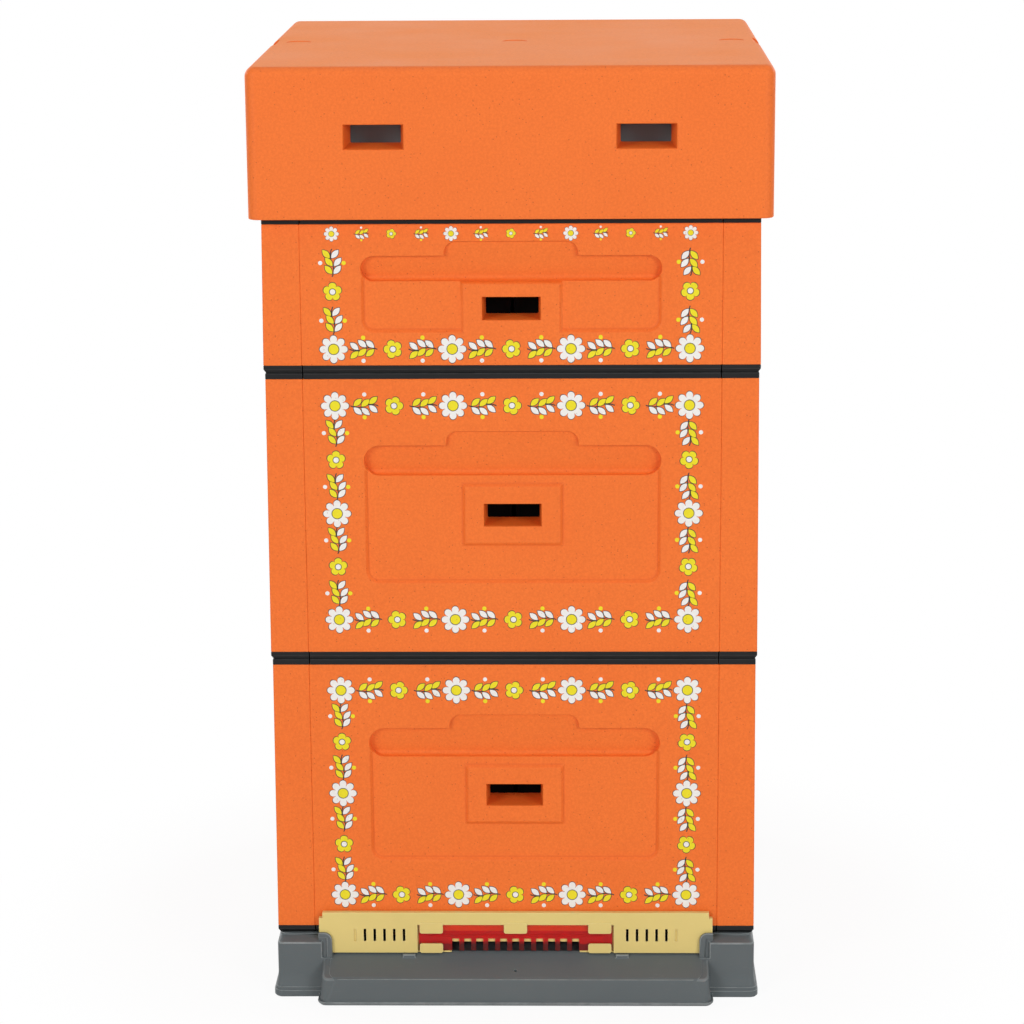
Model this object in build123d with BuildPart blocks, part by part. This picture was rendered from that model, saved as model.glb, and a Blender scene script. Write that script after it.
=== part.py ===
import math
import os

from build123d import *

# Twelve-frame beehive of moulded foam boxes on a plastic floor, in millimetres.
# The entrance faces -Y, and the origin is under the middle of the whole outline.

# Stack, from the ground up
floor_height = 70.0
brood_height = 319.0
super_height = 167.0
roof_height = 160.0

# Foam boxes: the side walls run the full depth, the end walls stand between them
box_width = 530.0
box_depth = 540.0
side_wall = 40.5
end_wall = 45.0
wall_flare = 1.5
tongue_width = 14.0
tongue_depth = 10.0
joint_gap = 0.2

# Plastic edge rails on the foam walls
top_rail_height = 6.7
bottom_rail_height = 8.2
rail_edge = 1.0
rail_gap = 1.2
drip_height = 4.0
drip_inset = 2.5
rail_skin = 2.0
rebate_width = 12.0
rebate_depth = 16.0

# Hand grip, panel and bee slot moulded in the walls, heights from the foot of the box
panel_width = 320.0
panel_depth = 4.0
panel_draft = 40.0
panel_corner = 14.0
grip_rim_depth = 2.5
grip_depth = 12.0
grip_heel = 5.0
tab_width = 142.0
tab_height = 15.5
tab_corner = 12.0
boss_width = 102.5
boss_rim = 18.75
boss_draft = 38.0
slot_width = 62.5
slot_height = 25.0
slot_draft = 3.0
brood_grip_z = 205.5
brood_grip_height = 33.5
brood_panel_z = 85.5
brood_slot_z = 162.0
super_grip_z = 98.5
super_grip_height = 27.5
super_panel_z = 43.5
super_slot_z = 69.5
super_boss_top = 95.5

# Hanging frames with their wax sheets
frame_pitch = 37.3
frame_gap = 0.3
frame_top_gap = 6.0
frame_bottom_gap = 13.0
lug_play = 2.0
bee_space = 7.5
top_bar_width = 27.0
top_bar_height = 20.0
end_bar_thickness = 9.0
end_bar_narrow = 25.0
spacer_length = 60.0
bottom_bar_width = 22.0
bottom_bar_height = 10.0
wax_thickness = 1.6

# Roof with four draughted air slots, three shallow round marks on top and a strap notch each side
roof_overhang = 12.0
roof_front_overhang = 15.0
roof_wall = 43.0
roof_top = 45.0
roof_corner = 12.0
roof_edge = 10.0
vent_width = 63.0
vent_height = 26.0
vent_draft = 5.0
vent_floor_draft = 2.5
vent_spacing = 286.0
vent_z = 87.0
mark_diameter = 28.0
mark_depth = 0.8
mark_inset = 33.0
strap_width = 55.0
strap_notch = 6.5

# Feeder pan under the roof
pan_gap_side = 5.0
pan_gap_end = 3.0
pan_height = 108.0
pan_step = 10.0
pan_wall = 3.5
pan_base = 4.0
chimney_bore = 60.0
chimney_wall = 4.0
chimney_height = 78.0
cap_bore = 92.0
cap_wall = 2.5
cap_head = 6.0
cap_slot_width = 28.0
cap_slot_height = 8.0
cap_slot_count = 2

# Floor moulding
floor_wall = 4.0
flange_height = 8.0
flange_reach = 5.5
foot_bevel = 1.5
bead_height = 4.0
bead_step = 1.2
tower_reach = 0.8
neck_inset = 2.0
tower_front = 14.5
neck_front = 2.0
bevel_height = 7.0
neck_height = 2.0
flare_top = 28.0
floor_corner = 10.0
deck_drop = 21.0
deck_thickness = 4.0
post_width = 60.0
landing_reach = 46.0
landing_inset = 45.0
landing_flange = 5.0
landing_bevel = 3.0
landing_step = 2.4
landing_lean = 4.0
landing_taper = 13.0
landing_ridge_z = 31.0
landing_start = 3.5
landing_corner = 10.0
lip_reach = 4.0
lip_skin = 1.8
lip_width = 15.0
lip_rib = 6.0
lip_valley = 5.0
lip_rise = 4.0
lip_corner = 9.0
ledge_width = 12.0
ledge_height = 4.0
lug_width = 14.5
lug_depth = 4.0
lug_spacing = 238.0
lug_drop = 0.5
drain_diameter = 3.5
drain_reach = 30.0

# Grille and drawer in the floor
mesh_thickness = 2.0
mesh_play = 0.5
mesh_z = 40.0
mesh_border = 20.0
mesh_slot_width = 8.0
mesh_pitch = 20.0
drawer_z = 14.0
drawer_height = 16.0
drawer_wall = 2.5
drawer_play = 1.5
drawer_front_gap = 2.0
drawer_lip = 6.0
drawer_lip_width = 120.0

# Entrance closure and its toothed gate
closure_inset = 45.5
closure_rise = 26.5
closure_step_width = 4.0
closure_step_height = 6.5
closure_back = 2.3
closure_skin = 2.0
window_width = 219.0
window_rise = 12.0
pocket_depth = 2.7
pocket_border = 4.0
doorway_width = 143.0
doorway_height = 11.6
clip_width = 26.0
clip_spacing = 94.0
clip_proud = 0.8
clip_root = 3.0
top_clip_drop = 10.0
bottom_clip_height = 11.0
clip_corner = 1.6
slit_width = 2.8
slit_height = 14.7
slit_pitch = 10.9
slit_first = 124.6
slit_count = 5
blind_slit_depth = 1.6
gate_play = 1.5
gate_thickness = 2.0
gate_slack = 0.3
gate_foot = 2.0
gate_top_rise = 12.9
gate_strip = 9.0
gate_strip_lean = 0.8
gate_groove_width = 0.6
gate_groove_depth = 0.4
gate_groove_pitch = 2.0
gate_groove_inset = 10.0
passage_count = 11
passage_pitch = 13.4
passage_width = 7.8
passage_top = 16.0

# The outline's middle lies between the landing's edge and the roof's rear edge
hive_y = (landing_reach - roof_front_overhang) / 2
front_y = hive_y - box_depth / 2
rear_y = hive_y + box_depth / 2
inner_width = box_width - 2 * side_wall
inner_depth = box_depth - 2 * end_wall
rail_cap = end_wall - rebate_width
frame_count = int(inner_width // frame_pitch)
lower_z = floor_height
upper_z = lower_z + brood_height
super_z = upper_z + brood_height
roof_z = super_z + super_height
deck_z = floor_height - deck_drop
entrance_width = box_width - 2 * post_width
landing_width = box_width - 2 * landing_inset
closure_width = box_width - 2 * closure_inset

os.makedirs("parts", exist_ok=True)


def save(piece, node):
    piece.part.label = node
    export_step(piece.part, f"parts/{node}.step")


# A wall's own frame: x along the wall, y inwards from its outer face, z up from the box's foot
def wall_site(side, base_z):
    sites = {
        "front": ((0, front_y, base_z), (1, 0, 0)),
        "back": ((0, rear_y, base_z), (-1, 0, 0)),
        "left": ((-box_width / 2, hive_y, base_z), (0, -1, 0)),
        "right": ((box_width / 2, hive_y, base_z), (0, 1, 0)),
    }
    origin, along = sites[side]
    return Plane(origin=origin, x_dir=along, z_dir=(0, 0, 1))


# The sloping outer face of a wall: x along the wall, y up, z outwards, zero at the box's foot
def face_site(site, foam_height):
    outward = site.z_dir * wall_flare - site.y_dir * foam_height
    middle = site.origin + site.z_dir * (bottom_rail_height + foam_height / 2)
    slope = Plane(origin=middle, x_dir=site.x_dir, z_dir=outward)
    return slope.shift_origin(slope.from_local_coords((0, -bottom_rail_height - foam_height / 2, 0)))


# Shallow field under the grip, cut from the face
def panel_cutter(face, panel_z, grip):
    grip_z, grip_height = grip
    height = grip_z + grip_height / 2 - panel_z
    with BuildPart() as cutter:
        with BuildSketch(face):
            with Locations((0, panel_z + height / 2)):
                RectangleRounded(panel_width, height, panel_corner)
        extrude(amount=-panel_depth, taper=panel_draft)
    return cutter.part


# Finger pocket: a round-ended band with a raised middle, whose floor leans in to a rounded heel
def grip_cutter(face, grip):
    grip_z, grip_height = grip
    middle = grip_z + grip_height / 2
    top = grip_z + grip_height + tab_height
    side_plane = Plane(origin=face.origin, x_dir=-face.z_dir, z_dir=face.x_dir)
    with BuildPart() as cutter:
        with BuildSketch(face):
            with Locations((0, middle)):
                SlotOverall(panel_width, grip_height)
            with Locations((0, (middle + top) / 2)):
                RectangleRounded(tab_width, top - middle, tab_corner)
        extrude(amount=-grip_depth)
        with BuildSketch(side_plane):
            with BuildLine():
                FilletPolyline((grip_rim_depth, top), (grip_depth, grip_z), (0, grip_z), radius=grip_heel)
                Polyline((0, grip_z), (0, top), (grip_rim_depth, top))
            make_face()
        extrude(amount=panel_width, both=True, mode=Mode.INTERSECT)
    return cutter.part


# One foam wall with its grip outside. In a front wall a flush boss stands in the panel, and a
# bee slot with a level floor narrows through it
def foam_wall(site, height, grip, panel_z, is_end, slot_z=None, boss_foot=None, boss_top=None):
    foam_height = height - top_rail_height - bottom_rail_height
    foam_top = height - top_rail_height
    thickness = end_wall if is_end else side_wall
    face = face_site(site, foam_height)
    with BuildPart() as wall:
        for level, lean in ((bottom_rail_height, -wall_flare / 2), (foam_top, wall_flare / 2)):
            length = inner_width if is_end else box_depth - 2 * lean
            with BuildSketch(site.offset(level)):
                with Locations((0, (thickness + lean) / 2)):
                    Rectangle(length, thickness - lean)
        loft(ruled=True)
        if is_end:
            with BuildSketch(site.offset(bottom_rail_height)):
                with Locations((0, end_wall / 2)):
                    Rectangle(inner_width + 2 * tongue_depth, tongue_width)
            extrude(amount=foam_height)
            with BuildSketch(site.offset(height - rebate_depth - rail_skin)):
                with Locations((0, end_wall)):
                    Rectangle(box_width, 2 * (rebate_width + rail_skin))
            extrude(amount=height, mode=Mode.SUBTRACT)
        else:
            groove_width = tongue_width + 2 * joint_gap
            groove_depth = tongue_depth + joint_gap
            with BuildSketch(site.offset(bottom_rail_height)):
                with Locations((0, side_wall)):
                    with GridLocations(box_depth - end_wall, 1, 2, 1):
                        Rectangle(groove_width, 2 * groove_depth)
            extrude(amount=foam_height, mode=Mode.SUBTRACT)
        add(panel_cutter(face, panel_z, grip), mode=Mode.SUBTRACT)
        if slot_z is not None:
            with BuildSketch(face):
                with Locations((0, (boss_top + boss_foot) / 2)):
                    Rectangle(boss_width, boss_top - boss_foot)
            extrude(amount=-panel_depth, taper=-boss_draft)
            for depth, draft in ((-wall_flare, 0), (end_wall + wall_flare, slot_draft)):
                with BuildSketch(face.offset(-depth)):
                    with Locations((0, slot_z - draft / 2)):
                        Rectangle(slot_width - 2 * draft, slot_height - draft)
            loft(ruled=True, mode=Mode.SUBTRACT)
        add(grip_cutter(face, grip), mode=Mode.SUBTRACT)
    return wall


# Top rail of an end wall: a cap, a web down the rebate, and the ledge that carries the frame lugs
def rest_rail(site, height):
    outer = wall_flare / 2
    seat = height - rebate_depth
    cap_foot = height - top_rail_height
    section = Plane(origin=site.origin, x_dir=site.y_dir, z_dir=site.x_dir)
    with BuildPart() as rail:
        with BuildSketch(section):
            with BuildLine():
                Polyline(
                    (outer, cap_foot),
                    (outer, height - rail_edge),
                    (outer + rail_edge, height),
                    (rail_cap, height),
                    (rail_cap, seat),
                    (end_wall, seat),
                    (end_wall, seat - rail_skin),
                    (rail_cap - rail_skin, seat - rail_skin),
                    (rail_cap - rail_skin, cap_foot),
                    close=True,
                )
            make_face()
        extrude(amount=inner_width / 2 - rail_gap, both=True)
    return rail


# Top rail of a side wall, a flat cap with its outer edges broken
def cap_rail(site, height):
    outer = wall_flare / 2
    with BuildPart() as rail:
        with BuildSketch(site.offset(height - top_rail_height)):
            with Locations((0, (side_wall + outer) / 2)):
                Rectangle(box_depth - 2 * outer, side_wall - outer)
        extrude(amount=top_rail_height)
        upper = rail.faces().sort_by(Axis.Z)[-1].edges()
        inner = upper.sort_by_distance(site.origin + site.y_dir * side_wall + site.z_dir * height)[0]
        chamfer([edge for edge in upper if edge != inner], length=rail_edge)
    return rail


# Bottom rail of a wall, undercut along the outside so that water drips off
def drip_rail(site, length, thickness, ends_show):
    outer = -wall_flare / 2
    end_inset = drip_inset if ends_show else 0
    with BuildPart() as rail:
        for level, inset, end in ((0, drip_inset, end_inset), (drip_height, 0, 0)):
            with BuildSketch(site.offset(level)):
                with Locations((0, (thickness + outer + inset) / 2)):
                    Rectangle(length - 2 * end, thickness - outer - inset)
        loft(ruled=True)
        with BuildSketch(site.offset(drip_height)):
            with Locations((0, (thickness + outer) / 2)):
                Rectangle(length, thickness - outer)
        extrude(amount=bottom_rail_height - drip_height)
    return rail


# Every box: four walls, four top rails, four bottom rails
def make_box(name, base_z, height, grip, panel_z, boss):
    for side in ("front", "back", "left", "right"):
        site = wall_site(side, base_z)
        is_end = side in ("front", "back")
        slot = boss if side == "front" else ()
        save(foam_wall(site, height, grip, panel_z, is_end, *slot), f"{name}_{side}_wall")
        save(rest_rail(site, height) if is_end else cap_rail(site, height), f"{name}_{side}_top_rail")
        foot_length = inner_width - 2 * rail_gap if is_end else box_depth + wall_flare
        thickness = end_wall if is_end else side_wall
        save(drip_rail(site, foot_length, thickness, not is_end), f"{name}_{side}_bottom_rail")


# Every box's frames: lugged top bars, spacing end bars, bottom bars and wax sheets
def make_frames(name, base_z, height):
    row = [((index - (frame_count - 1) / 2) * frame_pitch, 0) for index in range(frame_count)]
    top = base_z + height - frame_top_gap
    foot = base_z + frame_bottom_gap
    bar_foot = top - top_bar_height
    lug_foot = base_z + height - rebate_depth
    body_half = inner_depth / 2 - bee_space
    lug_half = box_depth / 2 - rail_cap - lug_play
    sheet_half = body_half - end_bar_thickness
    along = Plane(origin=(0, hive_y, 0), x_dir=(0, 1, 0), z_dir=(1, 0, 0))
    with BuildPart() as top_bars:
        for x, _ in row:
            with BuildSketch(along.offset(x)):
                with BuildLine():
                    Polyline(
                        (-lug_half, top),
                        (lug_half, top),
                        (lug_half, lug_foot),
                        (body_half, lug_foot),
                        (body_half, bar_foot),
                        (-body_half, bar_foot),
                        (-body_half, lug_foot),
                        (-lug_half, lug_foot),
                        close=True,
                    )
                make_face()
        extrude(amount=top_bar_width / 2, both=True)
    save(top_bars, f"{name}_top_bars")
    wide = (frame_pitch - frame_gap) / 2
    narrow = end_bar_narrow / 2
    with BuildPart() as end_bars:
        for y in (hive_y - body_half, hive_y + sheet_half):
            with BuildSketch(Plane(origin=(0, y, 0), x_dir=(-1, 0, 0), z_dir=(0, 1, 0))):
                with BuildLine():
                    Polyline(
                        (-wide, bar_foot),
                        (wide, bar_foot),
                        (wide, bar_foot - spacer_length),
                        (narrow, foot),
                        (-narrow, foot),
                        (-wide, bar_foot - spacer_length),
                        close=True,
                    )
                bar = make_face(mode=Mode.PRIVATE)
                with Locations(*row):
                    add(bar)
            extrude(amount=end_bar_thickness)
    save(end_bars, f"{name}_end_bars")
    with BuildPart() as bottom_bars:
        with BuildSketch(Plane.XY.offset(foot)):
            with Locations((0, hive_y)):
                with Locations(*row):
                    Rectangle(bottom_bar_width, 2 * sheet_half)
        extrude(amount=bottom_bar_height)
    save(bottom_bars, f"{name}_bottom_bars")
    with BuildPart() as wax_sheets:
        with BuildSketch(Plane.XY.offset(foot + bottom_bar_height)):
            with Locations((0, hive_y)):
                with Locations(*row):
                    Rectangle(wax_thickness, 2 * sheet_half)
        extrude(amount=bar_foot - foot - bottom_bar_height)
    save(wax_sheets, f"{name}_wax_sheets")


# Each grip is given by its foot and its height, and each boss by its slot's middle, its foot and its top
brood_grip = (brood_grip_z, brood_grip_height)
super_grip = (super_grip_z, super_grip_height)
boss_half = slot_height / 2 + boss_rim
brood_boss = (brood_slot_z, brood_slot_z - boss_half, brood_slot_z + boss_half)
super_boss = (super_slot_z, super_panel_z - panel_depth, super_boss_top)
for box_name, box_z in (("lower_brood", lower_z), ("upper_brood", upper_z)):
    make_box(box_name, box_z, brood_height, brood_grip, brood_panel_z, brood_boss)
    make_frames(box_name, box_z, brood_height)
make_box("super", super_z, super_height, super_grip, super_panel_z, super_boss)
make_frames("super", super_z, super_height)

# Roof
roof_width = box_width + 2 * roof_overhang
roof_depth = box_depth + 2 * roof_front_overhang
with BuildPart() as roof_shell:
    with BuildSketch(Plane((0, hive_y, roof_z))):
        RectangleRounded(roof_width, roof_depth, roof_corner)
    extrude(amount=roof_height)
    fillet(roof_shell.faces().sort_by(Axis.Z)[-1].edges(), radius=roof_edge)
    with BuildSketch(Plane((0, hive_y, roof_z))):
        Rectangle(roof_width - 2 * roof_wall, roof_depth - 2 * roof_wall)
    extrude(amount=roof_height - roof_top, mode=Mode.SUBTRACT)
    for outward in (-1, 1):
        for step, draft, floor_draft in ((0, 0, 0), (roof_wall, vent_draft, vent_floor_draft)):
            y = hive_y + outward * (roof_depth / 2 - step)
            with BuildSketch(Plane(origin=(0, y, roof_z + vent_z), x_dir=(1, 0, 0), z_dir=(0, -1, 0))):
                with Locations((-vent_spacing / 2, (floor_draft - draft) / 2)):
                    Rectangle(vent_width - 2 * draft, vent_height - draft - floor_draft)
        left_vent = loft(ruled=True, mode=Mode.SUBTRACT)
        add(mirror(left_vent, about=Plane.YZ, mode=Mode.PRIVATE), mode=Mode.SUBTRACT)
    with BuildSketch(Plane((0, hive_y, roof_z + roof_height))):
        with GridLocations(roof_width / 2 - mark_inset, 1, 3, 1):
            Circle(mark_diameter / 2)
    extrude(amount=-mark_depth, mode=Mode.SUBTRACT)
    with BuildSketch(Plane(origin=(0, hive_y, roof_z + roof_height), x_dir=(1, 0, 0), z_dir=(0, -1, 0))):
        with GridLocations(roof_width, 1, 2, 1):
            Rectangle(2 * strap_notch, 2 * strap_notch, rotation=45)
    extrude(amount=strap_width / 2, both=True, mode=Mode.SUBTRACT)
save(roof_shell, "roof_shell")

# Feeder pan with a foot flange and a chimney for the bees, and the cap over the chimney
pan_foot_width = roof_width - 2 * roof_wall - 2 * pan_gap_side
pan_foot_depth = roof_depth - 2 * roof_wall - 2 * pan_gap_end
pan_width = pan_foot_width - 2 * pan_step
pan_depth = pan_foot_depth - 2 * pan_step
with BuildPart() as feeder_pan:
    with BuildSketch(Plane((0, hive_y, roof_z))):
        Rectangle(pan_foot_width, pan_foot_depth)
    extrude(amount=pan_base)
    with BuildSketch(Plane((0, hive_y, roof_z))):
        Rectangle(pan_width, pan_depth)
    extrude(amount=pan_height)
    with BuildSketch(Plane((0, hive_y, roof_z + pan_base))):
        Rectangle(pan_width - 2 * pan_wall, pan_depth - 2 * pan_wall)
    extrude(amount=pan_height, mode=Mode.SUBTRACT)
    with BuildSketch(Plane((0, hive_y, roof_z))):
        Circle(chimney_bore / 2 + chimney_wall)
    extrude(amount=chimney_height)
    with BuildSketch(Plane((0, hive_y, roof_z))):
        Circle(chimney_bore / 2)
    extrude(amount=chimney_height, mode=Mode.SUBTRACT)
save(feeder_pan, "feeder_pan")

cap_foot_z = roof_z + pan_base
cap_height = chimney_height - pan_base + cap_head + cap_wall
with BuildPart() as feeder_cap:
    with BuildSketch(Plane((0, hive_y, cap_foot_z))):
        Circle(cap_bore / 2 + cap_wall)
    extrude(amount=cap_height)
    with BuildSketch(Plane((0, hive_y, cap_foot_z))):
        Circle(cap_bore / 2)
    extrude(amount=cap_height - cap_wall, mode=Mode.SUBTRACT)
    with BuildSketch(Plane((0, hive_y, cap_foot_z))):
        with PolarLocations(cap_bore / 2, cap_slot_count):
            Rectangle(4 * cap_wall, cap_slot_width)
    extrude(amount=cap_slot_height, mode=Mode.SUBTRACT)
save(feeder_cap, "feeder_cap")


# Landing: a hollow apron with flared sides, cut off by the slope that the bees walk up
ridge_reach = landing_reach - landing_lean
landing_fall = (deck_z - landing_ridge_z) / (ridge_reach - landing_start)
landing_levels = (
    (landing_flange, landing_step, landing_step),
    (landing_ridge_z, landing_taper, landing_lean),
    (deck_z, landing_taper, landing_lean),
)
landing_back = 2 * landing_corner
slope_run = landing_reach - landing_start
slope_side = Plane(origin=(0, front_y, 0), x_dir=(0, 1, 0), z_dir=(1, 0, 0))
with BuildPart() as landing_block:
    with BuildSketch(Plane((0, front_y + (landing_back - landing_reach) / 2, 0))):
        RectangleRounded(landing_width, landing_reach + landing_back, landing_corner)
    extrude(amount=landing_flange)
    chamfer(landing_block.faces().sort_by(Axis.Z)[0].edges(), length=landing_bevel)
    for level, side_inset, front_inset in landing_levels:
        depth = landing_reach - front_inset + landing_back
        with BuildSketch(Plane((0, front_y + landing_back - depth / 2, level))):
            RectangleRounded(landing_width - 2 * side_inset, depth, landing_corner)
    loft(ruled=True)
with BuildPart() as landing_hollow:
    for level, side_inset, front_inset in ((0, landing_step, landing_step), *landing_levels[1:]):
        depth = landing_reach - front_inset + landing_back - 2 * floor_wall
        width = landing_width - 2 * side_inset - 2 * floor_wall
        with BuildSketch(Plane((0, front_y + landing_back - floor_wall - depth / 2, level))):
            Rectangle(width, depth)
    loft(ruled=True)
    with BuildSketch(slope_side):
        with BuildLine():
            Polyline(
                (landing_back, 0),
                (landing_back, deck_z - deck_thickness),
                (-landing_start, deck_z - deck_thickness),
                (-landing_reach, deck_z - deck_thickness - slope_run * landing_fall),
                (-landing_reach, 0),
                close=True,
            )
        make_face()
    extrude(amount=landing_width, both=True, mode=Mode.INTERSECT)
with BuildPart() as slope_wedge:
    with BuildSketch(slope_side):
        with BuildLine():
            Polyline(
                (landing_back, deck_z),
                (-landing_start, deck_z),
                (-landing_reach, deck_z - slope_run * landing_fall),
                (-landing_reach, floor_height),
                (landing_back, floor_height),
                close=True,
            )
        make_face()
    extrude(amount=landing_width, both=True)
with BuildPart() as landing_shell:
    add(landing_block.part)
    add(slope_wedge.part, mode=Mode.SUBTRACT)
    add(landing_hollow.part, mode=Mode.SUBTRACT)

# Floor moulding: flared skirt, bearing ring, entrance deck, landing and closure posts
front_step = tower_front - tower_reach
bead_reach = flange_reach - bead_step
flare_foot = flange_height + bead_height
flare_middle = (flare_foot + flare_top) / 2
flare_reach = bead_reach - bead_step
flare_bend = tower_reach + (flare_reach - tower_reach) / 4
bevel_z = floor_height - bevel_height
neck_z = floor_height - neck_height
skirt_bands = (
    (0, flange_height, flange_reach, flange_reach),
    (flange_height, flare_foot, bead_reach, bead_reach),
    (flare_foot, flare_middle, flare_reach, flare_bend),
    (flare_middle, flare_top, flare_bend, tower_reach),
    (flare_top, bevel_z, tower_reach, tower_reach),
)
neck_levels = (
    (bevel_z, tower_reach, tower_front),
    (neck_z, -neck_inset, neck_front),
    (floor_height, -neck_inset, neck_front),
)
cavity_levels = (
    (0, flange_reach - floor_wall),
    (flange_height, flange_reach - floor_wall),
    (flare_top, tower_reach - floor_wall),
    (bevel_z - floor_wall, tower_reach - floor_wall),
)
entrance_half = entrance_width / 2
closure_thickness = 2 * closure_skin + pocket_depth
lip_back = closure_back + closure_thickness + gate_slack
groove_half = closure_width / 2 + gate_slack
with BuildPart() as floor_shell:
    for foot, top, foot_reach, top_reach in skirt_bands:
        corner = floor_corner - flange_reach + foot_reach
        with BuildSketch(Plane((0, hive_y - front_step / 2, foot))):
            RectangleRounded(box_width + 2 * foot_reach, box_depth + 2 * foot_reach + front_step, corner)
        extrude(amount=top - foot, taper=math.degrees(math.atan2(foot_reach - top_reach, top - foot)))
    chamfer(floor_shell.faces().sort_by(Axis.Z)[0].edges(), length=foot_bevel)
    tower_corner = floor_corner - flange_reach + tower_reach
    for level, side_reach, front_reach in neck_levels:
        with BuildSketch(Plane((0, hive_y + (side_reach - front_reach) / 2, level))):
            RectangleRounded(box_width + 2 * side_reach, box_depth + side_reach + front_reach, tower_corner)
    loft(ruled=True)
    for level, reach in cavity_levels:
        with BuildSketch(Plane((0, hive_y - front_step / 2, level))):
            Rectangle(box_width + 2 * reach, box_depth + 2 * reach + front_step)
    loft(ruled=True, mode=Mode.SUBTRACT)
    web_foot = drawer_z - ledge_height
    with BuildSketch(Plane((0, hive_y, web_foot))):
        Rectangle(inner_width + 2 * floor_wall, inner_depth + 2 * floor_wall)
    extrude(amount=bevel_z - web_foot)
    with BuildSketch(Plane((0, hive_y, 0))):
        Rectangle(inner_width, inner_depth)
    extrude(amount=floor_height, mode=Mode.SUBTRACT)
    # Entrance: the ring is open between the posts, over a deck that runs out into the landing
    deck_depth = end_wall + landing_start
    entrance_depth = end_wall + tower_front
    with BuildSketch(Plane((0, front_y + end_wall - entrance_depth / 2, deck_z))):
        Rectangle(entrance_width, entrance_depth)
    extrude(amount=floor_height, mode=Mode.SUBTRACT)
    with BuildSketch(Plane((0, front_y - landing_reach / 2 - landing_start, landing_ridge_z))):
        Rectangle(entrance_width, landing_reach)
    extrude(amount=floor_height, mode=Mode.SUBTRACT)
    add(landing_shell.part)
    with BuildSketch(Plane((0, front_y + end_wall - deck_depth / 2, deck_z - deck_thickness))):
        Rectangle(entrance_width + 2 * floor_wall, deck_depth)
    extrude(amount=deck_thickness)
    # Posts: a groove for each end of the closure, behind a lip with a hooked rib beside a valley
    post_depth = lip_back + floor_wall
    with BuildSketch(Plane((0, front_y - lip_back + post_depth / 2, deck_z - deck_thickness))):
        with GridLocations(entrance_half + groove_half + floor_wall, 1, 2, 1):
            Rectangle(groove_half + floor_wall - entrance_half, post_depth)
    extrude(amount=bevel_z - deck_z + deck_thickness)
    groove_depth = lip_back - closure_back + 2 * gate_slack
    with BuildSketch(Plane((0, front_y - lip_back + groove_depth / 2, deck_z))):
        Rectangle(2 * groove_half, groove_depth)
    extrude(amount=floor_height, mode=Mode.SUBTRACT)
    valley_width = lip_rib + lip_valley
    valley_depth = tower_front - lip_back - lip_skin
    with BuildSketch(Plane((0, front_y - tower_front, deck_z - deck_thickness))):
        with GridLocations(entrance_width + valley_width, 1, 2, 1):
            Rectangle(valley_width, 2 * valley_depth)
    extrude(amount=floor_height, mode=Mode.SUBTRACT)
    lip_top = floor_height + lip_rise
    lip_foot = landing_ridge_z
    lip_site = Plane(origin=(0, front_y - lip_back, 0), x_dir=(1, 0, 0), z_dir=(0, -1, 0))
    lip_bend = ((0, lip_foot), (0, lip_top), (lip_width, lip_top))
    lip_plate = ((lip_width, lip_top), (lip_width, lip_foot), (0, lip_foot))
    lip_hook = (
        (lip_width, lip_top),
        (lip_width, lip_top - lip_rib),
        (lip_rib, lip_top - lip_rib),
        (lip_rib, lip_foot),
        (0, lip_foot),
    )
    for outline, reach in ((lip_plate, lip_skin), (lip_hook, lip_reach)):
        with BuildSketch(lip_site):
            for hand in (-1, 1):
                with BuildLine():
                    bend = [(hand * (entrance_half + across), level) for across, level in lip_bend]
                    FilletPolyline(*bend, radius=lip_corner)
                    Polyline(*[(hand * (entrance_half + across), level) for across, level in outline])
                make_face()
        extrude(amount=reach)
    # Lugs that stop the closure's foot, and the drain hole in the slope
    with BuildSketch(Plane((0, front_y - lip_back - lug_depth / 2, landing_ridge_z))):
        with GridLocations(lug_spacing, 1, 2, 1):
            Rectangle(lug_width, lug_depth)
    extrude(amount=deck_z - lug_drop - landing_ridge_z)
    with BuildSketch(Plane((0, front_y - drain_reach, 0))):
        Circle(drain_diameter / 2)
    extrude(amount=deck_z, mode=Mode.SUBTRACT)
    # Ledges for the drawer and for the grille, and the drawer's way out through the rear
    for top in (drawer_z, mesh_z):
        with BuildSketch(Plane((0, hive_y, top - ledge_height))):
            with GridLocations(inner_width - ledge_width, 1, 2, 1):
                Rectangle(ledge_width, inner_depth)
        extrude(amount=ledge_height)
    mouth_depth = end_wall + flange_reach
    with BuildSketch(Plane((0, rear_y + flange_reach - mouth_depth / 2, drawer_z))):
        Rectangle(inner_width, mouth_depth)
    extrude(amount=drawer_height + drawer_play, mode=Mode.SUBTRACT)
save(floor_shell, "floor_shell")

# Grille over the drawer
mesh_width = inner_width - 2 * mesh_play
mesh_depth = inner_depth - 2 * mesh_play
mesh_columns = int((mesh_width - 2 * mesh_border) // mesh_pitch)
with BuildPart() as floor_grille:
    with BuildSketch(Plane((0, hive_y, mesh_z))):
        Rectangle(mesh_width, mesh_depth)
        with GridLocations(mesh_pitch, 1, mesh_columns, 1):
            Rectangle(mesh_slot_width, mesh_depth - 2 * mesh_border, mode=Mode.SUBTRACT)
    extrude(amount=mesh_thickness)
save(floor_grille, "floor_grille")

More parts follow.
